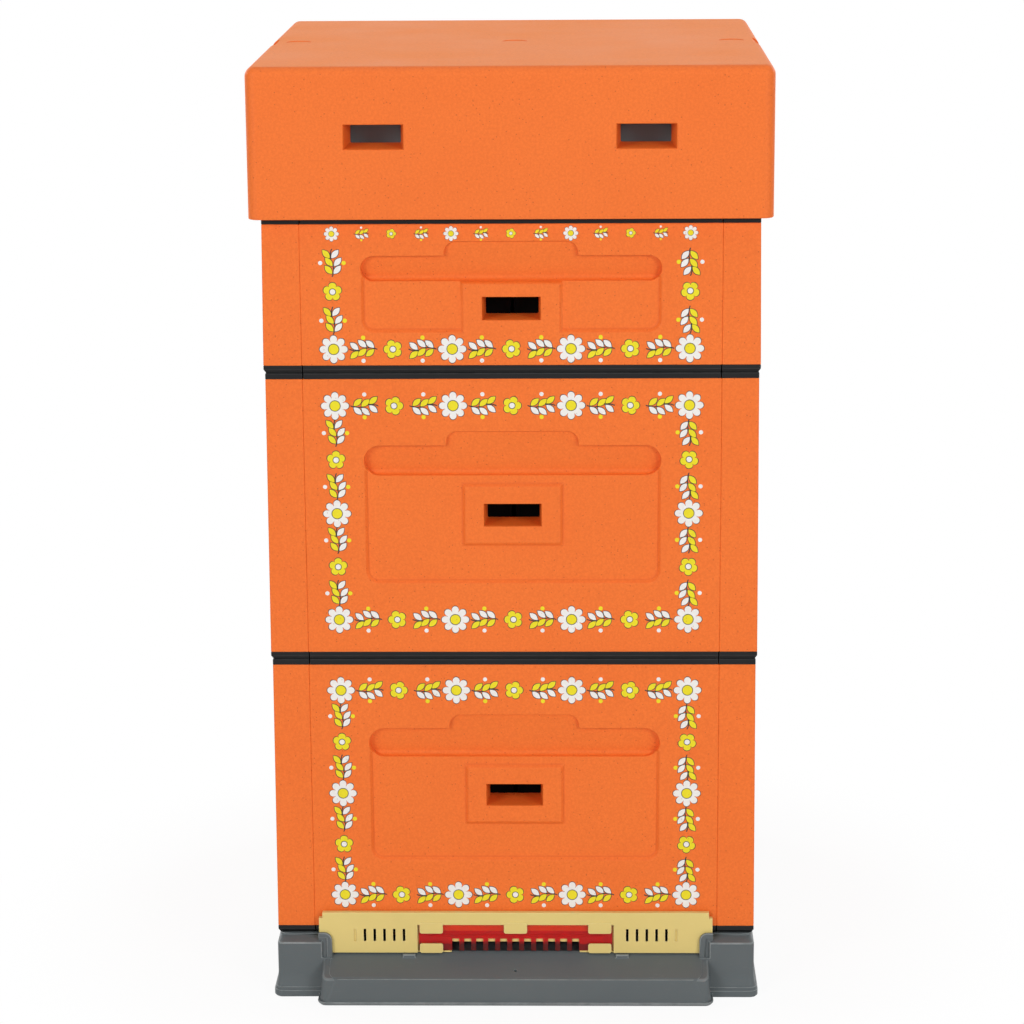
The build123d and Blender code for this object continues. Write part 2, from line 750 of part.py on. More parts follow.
# Drawer under the grille, pulled out at the rear by its lip
drawer_width = inner_width - 2 * drawer_play
drawer_depth = inner_depth + end_wall + tower_reach - drawer_front_gap
drawer_y = rear_y + tower_reach - drawer_depth / 2
with BuildPart() as varroa_drawer:
    with BuildSketch(Plane((0, drawer_y, drawer_z))):
        Rectangle(drawer_width, drawer_depth)
    extrude(amount=drawer_height)
    with BuildSketch(Plane((0, drawer_y, drawer_z + drawer_wall))):
        Rectangle(drawer_width - 2 * drawer_wall, drawer_depth - 2 * drawer_wall)
    extrude(amount=drawer_height, mode=Mode.SUBTRACT)
    with BuildSketch(Plane((0, rear_y + tower_reach + drawer_lip / 2, drawer_z + drawer_height - drawer_wall))):
        Rectangle(drawer_lip_width, drawer_lip)
    extrude(amount=drawer_wall)
save(varroa_drawer, "varroa_drawer")

# Entrance closure, seen from the front: x to the right, y up from the deck, z forwards
closure_site = Plane(origin=(0, front_y - closure_back, deck_z), x_dir=(1, 0, 0), z_dir=(0, -1, 0))
closure_height = deck_drop + closure_rise
window_top = deck_drop + window_rise
pocket_top = closure_height - closure_skin
wing_inner = window_width / 2 + pocket_border
wing_outer = closure_width / 2 - closure_skin
wing_top = closure_height - closure_step_height - closure_skin
slit_places = [hand * (slit_first + slit_pitch * index) for hand in (-1, 1) for index in range(slit_count)]
blind_place = slit_first + slit_pitch * slit_count
with BuildPart() as entrance_closure:
    with BuildSketch(closure_site):
        with Locations((0, closure_height / 2)):
            Rectangle(closure_width, closure_height)
        with Locations((0, closure_height)):
            with GridLocations(closure_width, 1, 2, 1):
                Rectangle(2 * closure_step_width, 2 * closure_step_height, mode=Mode.SUBTRACT)
    extrude(amount=closure_thickness)
    # Hollow back of the two wings
    with BuildSketch(closure_site):
        with Locations((0, (wing_top + closure_skin) / 2)):
            with GridLocations(wing_inner + wing_outer, 1, 2, 1):
                Rectangle(wing_outer - wing_inner, wing_top - closure_skin)
    extrude(amount=closure_thickness - closure_skin, mode=Mode.SUBTRACT)
    # Pocket that the gate rises into, and the window in front of it
    with BuildSketch(closure_site.offset(closure_skin)):
        with Locations((0, (pocket_top + gate_foot - gate_slack) / 2)):
            Rectangle(window_width, pocket_top - gate_foot + gate_slack)
    extrude(amount=pocket_depth, mode=Mode.SUBTRACT)
    with BuildSketch(closure_site.offset(closure_thickness - closure_skin)):
        with Locations((0, window_top / 2)):
            Rectangle(window_width, window_top)
    extrude(amount=closure_skin, mode=Mode.SUBTRACT)
    # Clips that keep the gate in its pocket
    top_clip_height = top_clip_drop + clip_root
    with BuildSketch(closure_site.offset(closure_thickness - closure_skin)) as clips:
        with Locations((0, window_top - top_clip_drop + top_clip_height / 2)):
            with GridLocations(clip_spacing, 1, 3, 1):
                Rectangle(clip_width, top_clip_height)
        with Locations((0, bottom_clip_height / 2)):
            with GridLocations(2 * clip_spacing, 1, 2, 1):
                Rectangle(clip_width, bottom_clip_height)
        chamfer(clips.vertices(), length=clip_corner)
    extrude(amount=closure_skin + clip_proud)
    # Doorway behind the gate, and the air slits in the wings
    with BuildSketch(closure_site):
        with Locations((0, doorway_height / 2)):
            Rectangle(doorway_width, doorway_height)
        with Locations((0, deck_drop)):
            with Locations(*[(place, 0) for place in slit_places]):
                Rectangle(slit_width, slit_height)
    extrude(amount=closure_thickness, mode=Mode.SUBTRACT)
    with BuildSketch(closure_site.offset(closure_thickness)):
        with Locations((0, deck_drop)):
            with GridLocations(2 * blind_place, 1, 2, 1):
                Rectangle(slit_width, slit_height)
    extrude(amount=-blind_slit_depth, mode=Mode.SUBTRACT)
save(entrance_closure, "entrance_closure")

# Toothed gate in the closure's pocket
gate_width = window_width - 2 * gate_play
gate_side = Plane(origin=closure_site.origin, x_dir=(0, -1, 0), z_dir=(-1, 0, 0))
gate_top = deck_drop + gate_top_rise
gate_back = closure_skin + gate_slack
gate_front = gate_back + gate_thickness
with BuildPart() as entrance_gate:
    with BuildSketch(gate_side):
        with BuildLine():
            Polyline(
                (gate_back, gate_foot),
                (gate_front, gate_foot),
                (gate_front, gate_top - gate_strip),
                (gate_front - gate_strip_lean, gate_top),
                (gate_back, gate_top),
                close=True,
            )
        make_face()
    extrude(amount=gate_width / 2, both=True)
    with BuildSketch(closure_site):
        with Locations((0, (gate_foot + passage_top) / 2)):
            with GridLocations(passage_pitch, 1, passage_count, 1):
                Rectangle(passage_width, passage_top - gate_foot)
    extrude(amount=closure_thickness, mode=Mode.SUBTRACT)
    with BuildSketch(closure_site.offset(gate_front)):
        with Locations((0, (passage_top + gate_top - gate_strip) / 2)):
            with GridLocations(1, gate_groove_pitch, 1, 2):
                Rectangle(gate_width - 2 * gate_groove_inset, gate_groove_width)
    extrude(amount=-gate_groove_depth, mode=Mode.SUBTRACT)
save(entrance_gate, "entrance_gate")
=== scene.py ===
import math

import bmesh
import bpy
from mathutils import Matrix, Vector
from mathutils.bvhtree import BVHTree


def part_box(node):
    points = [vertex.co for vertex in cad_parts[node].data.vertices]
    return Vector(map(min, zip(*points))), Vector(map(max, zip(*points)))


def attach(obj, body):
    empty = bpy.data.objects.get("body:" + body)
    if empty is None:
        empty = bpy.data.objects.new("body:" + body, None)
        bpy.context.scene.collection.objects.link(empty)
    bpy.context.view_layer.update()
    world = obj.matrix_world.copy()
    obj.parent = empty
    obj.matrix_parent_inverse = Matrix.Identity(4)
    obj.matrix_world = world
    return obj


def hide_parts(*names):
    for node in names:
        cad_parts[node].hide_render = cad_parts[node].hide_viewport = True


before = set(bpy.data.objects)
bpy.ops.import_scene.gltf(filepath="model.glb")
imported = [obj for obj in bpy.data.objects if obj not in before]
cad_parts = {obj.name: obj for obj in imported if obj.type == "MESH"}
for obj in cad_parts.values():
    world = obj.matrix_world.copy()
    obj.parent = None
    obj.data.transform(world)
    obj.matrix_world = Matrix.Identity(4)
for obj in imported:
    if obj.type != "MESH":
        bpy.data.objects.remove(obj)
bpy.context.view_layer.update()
boxNames = ("lower_brood", "upper_brood", "super")
sideNames = ("front", "back", "left", "right")


# small helpers for objects
def addToScene(name, data):
    added = bpy.data.objects.new(name, data)
    bpy.context.scene.collection.objects.link(added)
    return added


def newPiece(name, bm, material):
    mesh = bpy.data.meshes.new(name)
    bm.to_mesh(mesh)
    bm.free()
    mesh.materials.append(material)
    return addToScene(name, mesh)


def keepFlatFaces(piece, settings):
    piece.data.set_sharp_from_angle(angle=math.radians(settings["sharp"]))
    weighted = piece.modifiers.new("flatFaces", "WEIGHTED_NORMAL")
    weighted.keep_sharp = True
    weighted.weight = settings["flatWeight"]


# small helpers for node trees
def addNode(tree, kind, values=None, **options):
    node = tree.nodes.new(kind)
    for key, value in options.items():
        setattr(node, key, value)
    for key, value in (values or {}).items():
        node.inputs[key].default_value = value
    return node


def objectPlace(tree):
    return addNode(tree, "ShaderNodeTexCoord").outputs["Object"]


def addPlaced(tree, kind, place, values=None, **options):
    node = addNode(tree, kind, values, **options)
    tree.links.new(place, node.inputs["Vector"])
    return node


def addMath(tree, operation, first, second):
    node = addNode(tree, "ShaderNodeMath", operation=operation)
    for index, item in enumerate((first, second)):
        if isinstance(item, (int, float)):
            node.inputs[index].default_value = item
        else:
            tree.links.new(item, node.inputs[index])
    return node.outputs[0]


def addRange(tree, source, fromMin, fromMax, toMin, toMax, curve="LINEAR"):
    values = {1: fromMin, 2: fromMax, 3: toMin, 4: toMax}
    node = addNode(tree, "ShaderNodeMapRange", values, interpolation_type=curve)
    tree.links.new(source, node.inputs[0])
    return node.outputs[0]


def addMix(tree, mask, plain, marked):
    node = addNode(tree, "ShaderNodeMix", data_type="RGBA")
    tree.links.new(mask, node.inputs[0])
    for index, item in ((6, plain), (7, marked)):
        if isinstance(item, tuple):
            node.inputs[index].default_value = (*item, 1.0)
        else:
            tree.links.new(item, node.inputs[index])
    return node.outputs[2]


def shadeOver(tree, paint, mask, shade, colour):
    return addMix(tree, addMath(tree, "MULTIPLY", mask, shade), paint, colour)


# camera, set from the edges of the boxes in the photograph
cameraSettings = {
    "place": (0.0721, -3.46464, 1.35435),
    "pitchDown": 13.986,
    "yaw": -1.301,
    "roll": 0.405,
    "lens": 107.66,
    "sensor": 36.0,
    "farthest": 60.0,
}


def makeCamera(settings):
    pitch = math.radians(settings["pitchDown"])
    yaw = math.radians(settings["yaw"])
    roll = math.radians(settings["roll"])
    level = Vector((math.sin(yaw), math.cos(yaw), 0.0))
    side = Vector((math.cos(yaw), -math.sin(yaw), 0.0))
    rise = level * math.sin(pitch) + Vector((0.0, 0.0, math.cos(pitch)))
    ahead = level * math.cos(pitch) - Vector((0.0, 0.0, math.sin(pitch)))
    right = side * math.cos(roll) - rise * math.sin(roll)
    up = side * math.sin(roll) + rise * math.cos(roll)
    turn = Matrix((right, up, -ahead)).transposed().to_4x4()
    data = bpy.data.cameras.new("photoCamera")
    data.sensor_fit = "HORIZONTAL"
    data.sensor_width = settings["sensor"]
    data.lens = settings["lens"]
    data.clip_end = settings["farthest"]
    camera = addToScene("photoCamera", data)
    camera.matrix_world = Matrix.Translation(settings["place"]) @ turn
    bpy.context.scene.camera = camera


makeCamera(cameraSettings)
bpy.context.scene.view_settings.view_transform = "Standard"
print("camera placed")


# two large soft boxes in front, a weaker one above and two behind the object
lightSettings = {
    "frontLeftBox": {"place": (-3.6, -5.2, 2.6), "aim": (0.0, 0.0, 0.45), "size": 2.2, "power": 142.0},
    "frontRightBox": {"place": (3.6, -5.2, 2.6), "aim": (0.0, 0.0, 0.45), "size": 2.2, "power": 142.0},
    "topBox": {"place": (0.0, -0.7, 3.8), "aim": (0.0, 0.0, 0.5), "size": 2.4, "power": 22.0},
    "rearLeftBox": {"place": (-2.9, 2.7, 2.0), "aim": (0.0, 0.1, 0.5), "size": 1.8, "power": 58.0},
    "rearRightBox": {"place": (2.9, 2.7, 2.0), "aim": (0.0, 0.1, 0.5), "size": 1.8, "power": 58.0},
}
worldSettings = {"white": (1.0, 1.0, 1.0), "seenStrength": 1.0, "fillStrength": 0.22}
floorSettings = {
    "half": 12.0,
    "drop": 0.0004,
    "colour": (0.93, 0.93, 0.925),
    "nearLift": 0.93,
    "nearRadius": 0.38,
    "farRadius": 0.65,
}


def makeLight(name, settings):
    data = bpy.data.lights.new(name, "AREA")
    data.shape = "SQUARE"
    data.size = settings["size"]
    data.energy = settings["power"]
    lamp = addToScene(name, data)
    place = Vector(settings["place"])
    look = Vector(settings["aim"]) - place
    turn = look.to_track_quat("-Z", "Y").to_matrix().to_4x4()
    lamp.matrix_world = Matrix.Translation(place) @ turn


# rays that show the background itself: straight, mirrored or through clear plastic
def seenRays(tree):
    paths = addNode(tree, "ShaderNodeLightPath")
    glossy = addMath(tree, "MAXIMUM", paths.outputs["Is Camera Ray"], paths.outputs["Is Glossy Ray"])
    return addMath(tree, "MAXIMUM", glossy, paths.outputs["Is Transmission Ray"])


def makeWorld(settings):
    world = bpy.data.worlds.new("studioWorld")
    bpy.context.scene.world = world
    world.use_nodes = True
    tree = world.node_tree
    tree.nodes.clear()
    level = addRange(tree, seenRays(tree), 0.0, 1.0, settings["fillStrength"], settings["seenStrength"])
    background = addNode(tree, "ShaderNodeBackground", {"Color": (*settings["white"], 1.0)})
    tree.links.new(level, background.inputs["Strength"])
    output = addNode(tree, "ShaderNodeOutputWorld")
    tree.links.new(background.outputs["Background"], output.inputs["Surface"])


def makeFloor(settings):
    bm = bmesh.new()
    bmesh.ops.create_grid(bm, x_segments=1, y_segments=1, size=settings["half"])
    bmesh.ops.translate(bm, verts=bm.verts, vec=(0.0, 0.0, -settings["drop"]))
    material = bpy.data.materials.new("studioPaper")
    material.use_nodes = True
    tree = material.node_tree
    tree.nodes.clear()
    reach = addNode(tree, "ShaderNodeVectorMath", operation="LENGTH")
    tree.links.new(objectPlace(tree), reach.inputs[0])
    lift = addRange(tree, reach.outputs["Value"], settings["nearRadius"], settings["farRadius"],
                    settings["nearLift"], 1.0, curve="SMOOTHSTEP")
    share = addMath(tree, "MULTIPLY", seenRays(tree), lift)
    paper = addNode(tree, "ShaderNodeBsdfDiffuse", {"Color": (*settings["colour"], 1.0)})
    white = addNode(tree, "ShaderNodeEmission", {"Strength": 1.0})
    mix = addNode(tree, "ShaderNodeMixShader")
    for index, source in enumerate((share, paper.outputs[0], white.outputs[0])):
        tree.links.new(source, mix.inputs[index])
    output = addNode(tree, "ShaderNodeOutputMaterial")
    tree.links.new(mix.outputs[0], output.inputs["Surface"])
    floor = newPiece("studioFloor", bm, material)


for lightName, oneLight in lightSettings.items():
    makeLight(lightName, oneLight)
makeWorld(worldSettings)
makeFloor(floorSettings)
print("studio lit")


def newGroup(name, settings):
    tree = bpy.data.node_groups.new(name, "ShaderNodeTree")
    for label, value in settings["inputs"].items():
        socket = tree.interface.new_socket(name=label, in_out="INPUT", socket_type="NodeSocketFloat")
        socket.default_value = value
    for label in settings["outputs"]:
        tree.interface.new_socket(name=label, in_out="OUTPUT", socket_type="NodeSocketFloat")
    return tree, addNode(tree, "NodeGroupInput"), addNode(tree, "NodeGroupOutput")


def giveOut(tree, made, sockets):
    for label, socket in sockets.items():
        tree.links.new(socket, made.inputs[label])


# beads of expanded foam under paint: bead seams, a few open pits and a slow change of tone
beadSettings = {
    "inputs": {"Bead Scale": 260.0, "Pit Scale": 150.0},
    "outputs": ("Seams", "Pits", "Tone", "Mottle", "Height"),
    "seamWidth": 0.14,
    "pitSpan": (0.12, 0.24),
    "pitFree": 0.87,
    "toneNoise": {"Scale": 9.0, "Detail": 3.0, "Roughness": 0.55},
    "fineNoise": {"Scale": 900.0, "Detail": 2.0},
    "mottleNoise": {"Scale": 360.0, "Detail": 2.0, "Roughness": 0.6},
    "mottleSpan": (0.38, 0.62),
    "seamHeight": -0.55,
    "pitHeight": -1.6,
    "fineHeight": 0.35,
}


def makeFoamGroup(settings):
    tree, given, made = newGroup("foamBeads", settings)
    place = objectPlace(tree)
    bead = addPlaced(tree, "ShaderNodeTexVoronoi", place, feature="DISTANCE_TO_EDGE")
    tree.links.new(given.outputs["Bead Scale"], bead.inputs["Scale"])
    seams = addRange(tree, bead.outputs["Distance"], 0.0, settings["seamWidth"], 1.0, 0.0)
    pit = addPlaced(tree, "ShaderNodeTexVoronoi", place, feature="F1")
    tree.links.new(given.outputs["Pit Scale"], pit.inputs["Scale"])
    dot = addRange(tree, pit.outputs["Distance"], *settings["pitSpan"], 1.0, 0.0)
    split = addNode(tree, "ShaderNodeSeparateColor")
    tree.links.new(pit.outputs["Color"], split.inputs[0])
    rare = addMath(tree, "GREATER_THAN", split.outputs[0], settings["pitFree"])
    pits = addMath(tree, "MULTIPLY", dot, rare)
    slow = addPlaced(tree, "ShaderNodeTexNoise", place, settings["toneNoise"])
    fine = addPlaced(tree, "ShaderNodeTexNoise", place, settings["fineNoise"])
    mottle = addPlaced(tree, "ShaderNodeTexNoise", place, settings["mottleNoise"])
    sunk = addMath(tree, "MULTIPLY", seams, settings["seamHeight"])
    deep = addMath(tree, "MULTIPLY", pits, settings["pitHeight"])
    rough = addMath(tree, "MULTIPLY", fine.outputs[0], settings["fineHeight"])
    giveOut(tree, made, {
        "Seams": seams,
        "Pits": pits,
        "Tone": slow.outputs[0],
        "Mottle": addRange(tree, mottle.outputs[0], *settings["mottleSpan"], 0.0, 1.0),
        "Height": addMath(tree, "ADD", addMath(tree, "ADD", sunk, deep), rough),
    })
    return tree


# fine spark grain of a moulding tool, with slow smears of gloss and a few scuffs
mouldSettings = {
    "inputs": {"Grain Scale": 1400.0, "Smear Scale": 14.0},
    "outputs": ("Grain", "Smear", "Scuff"),
    "grainNoise": {"Detail": 3.0, "Roughness": 0.6},
    "smearNoise": {"Detail": 4.0, "Roughness": 0.6, "Distortion": 0.4},
    "scuffStretch": {"Scale": (1.0, 1.0, 9.0), "Rotation": (0.5, 0.3, 0.9)},
    "scuffNoise": {"Scale": 55.0, "Detail": 5.0, "Roughness": 0.7},
    "scuffSpan": (0.62, 0.74),
}


def makeMouldGroup(settings):
    tree, given, made = newGroup("mouldGrain", settings)
    place = objectPlace(tree)
    grain = addPlaced(tree, "ShaderNodeTexNoise", place, settings["grainNoise"])
    tree.links.new(given.outputs["Grain Scale"], grain.inputs["Scale"])
    smear = addPlaced(tree, "ShaderNodeTexNoise", place, settings["smearNoise"])
    tree.links.new(given.outputs["Smear Scale"], smear.inputs["Scale"])
    stretch = addPlaced(tree, "ShaderNodeMapping", place, settings["scuffStretch"])
    scuff = addPlaced(tree, "ShaderNodeTexNoise", stretch.outputs[0], settings["scuffNoise"])
    giveOut(tree, made, {
        "Grain": grain.outputs[0],
        "Smear": smear.outputs[0],
        "Scuff": addRange(tree, scuff.outputs[0], *settings["scuffSpan"], 0.0, 1.0),
    })
    return tree


# rounded edges and hollows carry attributes: edges are rubbed paler in patches, partly wear and partly a
# painted highlight; hollows get painted shade in patches
wearAndShadeSettings = {
    "inputs": {"Patch Scale": 60.0},
    "outputs": ("WornHighlit", "Sunk"),
    "patchNoise": {"Detail": 3.0, "Roughness": 0.6},
    "rubbedHighlit": (0.35, 0.6, 0.45, 1.0),
    "hollowShade": (0.3, 0.65, 0.8, 1.0),
}


def makeWearAndShadeGroup(settings):
    tree, given, made = newGroup("edgeWearAndShade", settings)
    edge = addNode(tree, "ShaderNodeAttribute", attribute_name="wornHighlit").outputs["Fac"]
    hollow = addNode(tree, "ShaderNodeAttribute", attribute_name="sunk").outputs["Fac"]
    patch = addPlaced(tree, "ShaderNodeTexNoise", objectPlace(tree), settings["patchNoise"])
    tree.links.new(given.outputs["Patch Scale"], patch.inputs["Scale"])
    rubbedHighlit = addRange(tree, patch.outputs[0], *settings["rubbedHighlit"])
    hollowShade = addRange(tree, patch.outputs[0], *settings["hollowShade"])
    giveOut(tree, made, {
        # paler rubbed edges: partly wear, partly a painted highlight
        "WornHighlit": addMath(tree, "MULTIPLY", edge, rubbedHighlit),
        # hollows darkened in patches: painted shade
        "Sunk": addMath(tree, "MULTIPLY", hollow, hollowShade),
    })
    return tree


foamBeads = makeFoamGroup(beadSettings)
mouldGrain = makeMouldGroup(mouldSettings)
edgeWearAndShade = makeWearAndShadeGroup(wearAndShadeSettings)
print("shader groups built")


def newMaterial(name, settings):
    colour = (*settings["colour"], 1.0)
    material = bpy.data.materials.new(name)
    material.use_nodes = True
    material.diffuse_color = colour
    tree = material.node_tree
    tree.nodes.clear()
    shader = addNode(tree, "ShaderNodeBsdfPrincipled", {
        "Base Color": colour,
        "Roughness": settings["roughness"],
        "Specular IOR Level": settings["specular"],
    })
    output = addNode(tree, "ShaderNodeOutputMaterial")
    tree.links.new(shader.outputs[0], output.inputs["Surface"])
    return material, tree, shader


def spreadGloss(tree, shader, source, settings):
    low = settings["roughness"] - settings["roughnessSpread"]
    high = settings["roughness"] + settings["roughnessSpread"]
    gloss = addRange(tree, source, *settings["glossSpan"], low, high)
    tree.links.new(gloss, shader.inputs["Roughness"])


def addBump(tree, shader, height, settings):
    values = {"Strength": settings["bump"], "Distance": settings["bumpDistance"]}
    bump = addNode(tree, "ShaderNodeBump", values)
    tree.links.new(height, bump.inputs["Height"])
    tree.links.new(bump.outputs[0], shader.inputs["Normal"])


# painted foam, and ink printed on it with the same beads showing through
def foamMaterial(name, settings):
    material, tree, shader = newMaterial(name, settings)
    scales = {"Bead Scale": settings["beadScale"], "Pit Scale": settings["pitScale"]}
    beads = addNode(tree, "ShaderNodeGroup", scales, node_tree=foamBeads)
    wearAndShade = addNode(tree, "ShaderNodeGroup", node_tree=edgeWearAndShade)
    tone = addRange(tree, beads.outputs["Tone"], *settings["toneSpan"], 0.0, 1.0)
    paint = addMix(tree, tone, settings["colour"], settings["warmer"])
    paint = shadeOver(tree, paint, beads.outputs["Seams"], settings["seamShade"], settings["darker"])
    paint = shadeOver(tree, paint, beads.outputs["Mottle"], settings["mottleShade"], settings["darker"])
    # painted shade in the hollows
    paint = shadeOver(tree, paint, wearAndShade.outputs["Sunk"], settings["sunkShade"], settings["darker"])
    paint = shadeOver(tree, paint, beads.outputs["Pits"], settings["pitShade"], settings["pitColour"])
    tree.links.new(paint, shader.inputs["Base Color"])
    spreadGloss(tree, shader, beads.outputs["Tone"], settings)
    addBump(tree, shader, beads.outputs["Height"], settings)
    shader.inputs["Sheen Weight"].default_value = settings["dust"]
    shader.inputs["Sheen Roughness"].default_value = settings["dustSpread"]
    shader.inputs["Sheen Tint"].default_value = (*settings["dustTint"], 1.0)
    return material


foamSettings = {
    "colour": (0.882, 0.176, 0.0230),
    "warmer": (0.900, 0.188, 0.0260),
    "darker": (0.70, 0.112, 0.013),
    "pitColour": (0.42, 0.055, 0.006),
    "toneSpan": (0.3, 0.7),
    "seamShade": 0.14,
    "mottleShade": 0.28,
    "sunkShade": 0.42,
    "pitShade": 0.58,
    "roughness": 0.54,
    "roughnessSpread": 0.06,
    "glossSpan": (0.25, 0.75),
    "specular": 0.32,
    "dust": 0.07,
    "dustSpread": 0.35,
    "dustTint": (1.0, 0.92, 0.10),
    "beadScale": 235.0,
    "pitScale": 290.0,
    "bump": 0.4,
    "bumpDistance": 0.00035,
}
inkShared = {
    **foamSettings,
    "roughness": 0.5,
    "specular": 0.35,
    "dust": 0.0,
    "pitScale": 260.0,
    "seamShade": 0.10,
    "mottleShade": 0.08,
    "sunkShade": 0.0,
    "pitShade": 0.45,
    "bump": 0.3,
    "bumpDistance": 0.0003,
}
inkSettings = {
    "white": {
        "colour": (0.84, 0.82, 0.79), "warmer": (0.87, 0.85, 0.82),
        "darker": (0.66, 0.60, 0.55), "pitColour": (0.45, 0.30, 0.22),
    },
    "yellow": {
        "colour": (0.82, 0.70, 0.012), "warmer": (0.85, 0.73, 0.016),
        "darker": (0.66, 0.52, 0.010), "pitColour": (0.42, 0.26, 0.01),
    },
    "dark": {
        "colour": (0.040, 0.030, 0.027), "warmer": (0.050, 0.038, 0.034),
        "darker": (0.025, 0.020, 0.018), "pitColour": (0.015, 0.010, 0.010),
    },
}
foamOrange = foamMaterial("foamOrange", foamSettings)
inkMaterials = {}
for inkName, inkColours in inkSettings.items():
    inkMaterials[inkName] = foamMaterial("ink" + inkName.capitalize(), {**inkShared, **inkColours})


# moulded plastics
def plasticMaterial(name, settings):
    material, tree, shader = newMaterial(name, settings)
    scales = {"Grain Scale": settings["grainScale"], "Smear Scale": settings["smearScale"]}
    grain = addNode(tree, "ShaderNodeGroup", scales, node_tree=mouldGrain)
    wearAndShade = addNode(tree, "ShaderNodeGroup", node_tree=edgeWearAndShade)
    tone = addRange(tree, grain.outputs["Smear"], *settings["toneSpan"], 0.0, 1.0)
    paint = addMix(tree, tone, settings["colour"], settings["other"])
    paint = shadeOver(tree, paint, grain.outputs["Scuff"], settings["scuffShade"], settings["scuffColour"])
    # paler edges: partly wear, partly a painted highlight
    paint = shadeOver(tree, paint, wearAndShade.outputs["WornHighlit"], settings["wornHighlitStrength"], settings["wornHighlitColour"])
    tree.links.new(paint, shader.inputs["Base Color"])
    spreadGloss(tree, shader, grain.outputs["Smear"], settings)
    addBump(tree, shader, grain.outputs["Grain"], settings)
    shader.inputs["Transmission Weight"].default_value = settings["clear"]
    shader.inputs["IOR"].default_value = settings["bend"]
    return material


plasticShared = {
    "specular": 0.5,
    "grainScale": 1300.0,
    "smearScale": 12.0,
    "toneSpan": (0.3, 0.7),
    "scuffShade": 0.25,
    "wornHighlitStrength": 0.5,
    "roughnessSpread": 0.05,
    "glossSpan": (0.3, 0.7),
    "clear": 0.0,
    "bend": 1.5,
    "bump": 0.25,
    "bumpDistance": 0.00012,
}
plasticSettings = {
    "railBlack": {
        "colour": (0.008, 0.008, 0.0085), "other": (0.011, 0.011, 0.0115),
        "scuffColour": (0.03, 0.03, 0.032), "wornHighlitColour": (0.05, 0.05, 0.052),
        "roughness": 0.50, "specular": 0.2,
    },
    # the floor's paler edges stand partly for wear, partly for a painted highlight
    "floorGrey": {
        "colour": (0.096, 0.114, 0.120), "other": (0.106, 0.123, 0.128),
        "scuffColour": (0.19, 0.205, 0.205), "wornHighlitColour": (0.32, 0.345, 0.345),
        "roughness": 0.46, "specular": 0.35, "wornHighlitStrength": 0.62,
    },
    "closureYellow": {
        "colour": (0.73, 0.575, 0.195), "other": (0.76, 0.60, 0.205),
        "scuffColour": (0.80, 0.68, 0.34), "wornHighlitColour": (0.86, 0.76, 0.42),
        "roughness": 0.42,
    },
    "gateRed": {
        "colour": (0.80, 0.012, 0.008), "other": (0.84, 0.016, 0.011),
        "scuffColour": (0.86, 0.04, 0.03), "wornHighlitColour": (0.88, 0.05, 0.035),
        "roughness": 0.32, "specular": 0.12, "clear": 0.86, "bend": 1.36,
    },
    "drawerWhite": {
        "colour": (0.76, 0.76, 0.74), "other": (0.80, 0.80, 0.78),
        "scuffColour": (0.62, 0.61, 0.58), "wornHighlitColour": (0.86, 0.86, 0.85),
        "roughness": 0.45,
    },
    "feederGrey": {
        "colour": (0.19, 0.215, 0.225), "other": (0.20, 0.225, 0.235),
        "scuffColour": (0.25, 0.27, 0.28), "wornHighlitColour": (0.28, 0.30, 0.31),
        "roughness": 0.5, "specular": 0.3,
    },
    # black plastic end bars, made near black as painted shade for the dark inside seen through the slots
    "endBarShadeBlack": {
        "colour": (0.0030, 0.0030, 0.0030), "other": (0.0044, 0.0044, 0.0044),
        "scuffColour": (0.010, 0.010, 0.010), "wornHighlitColour": (0.010, 0.010, 0.010),
        "roughness": 0.8, "specular": 0.06,
    },
}
plastics = {}
for plasticName, oneSettings in plasticSettings.items():
    plastics[plasticName] = plasticMaterial(plasticName, {**plasticShared, **oneSettings})

# painted light and shade on the gate: its leaning strip is painted a lighter orange-red for lit yellow showing
# through, its teeth painted dark for the dark doorway behind
gateSettings = {
    "stripDrop": 0.009,
    "stripFade": 0.0008,
    "stripPaintedLight": (1.0, 0.16, 0.03),
    "stripLightShare": 0.9,
    "toothRise": 0.0085,
    "toothFade": 0.0012,
    "toothPaintedShade": (0.36, 0.010, 0.010),
    "toothShade": 0.75,
}


def shadeGate(material, gateBox, settings):
    tree = material.node_tree
    shader = next(node for node in tree.nodes if node.type == "BSDF_PRINCIPLED")
    paint = shader.inputs["Base Color"].links[0].from_socket
    split = addPlaced(tree, "ShaderNodeSeparateXYZ", objectPlace(tree))
    height = split.outputs["Z"]
    stripFoot = gateBox[1][2] - settings["stripDrop"]
    stripFull = stripFoot + settings["stripFade"]
    # painted light: the strip is lighter orange-red where lit yellow would show through
    strip = addRange(tree, height, stripFoot, stripFull, 0.0, settings["stripLightShare"])
    paint = addMix(tree, strip, paint, settings["stripPaintedLight"])
    toothTop = gateBox[0][2] + settings["toothRise"]
    toothFull = toothTop - settings["toothFade"]
    # painted shade: the teeth are darkened where the dark doorway would show through
    tooth = addRange(tree, height, toothFull, toothTop, settings["toothShade"], 0.0)
    paint = addMix(tree, tooth, paint, settings["toothPaintedShade"])
    tree.links.new(paint, shader.inputs["Base Color"])


shadeGate(plastics["gateRed"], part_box("entrance_gate"), gateSettings)


# planed softwood with its grain along the bars, which run from front to back
woodSettings = {
    "colour": (0.62, 0.40, 0.20),
    "deep": (0.44, 0.245, 0.105),
    "stretch": (1.0, 0.06, 1.0),
    "ringNoise": {"Scale": 95.0, "Detail": 4.0, "Distortion": 0.8},
    "ringSpan": (0.42, 0.62),
    "ringShare": 0.7,
    "fibreNoise": {"Scale": 1500.0, "Detail": 2.0},
    "fibreShare": 0.3,
    "roughness": 0.62,
    "specular": 0.35,
    "bump": 0.3,
    "bumpDistance": 0.0003,
}


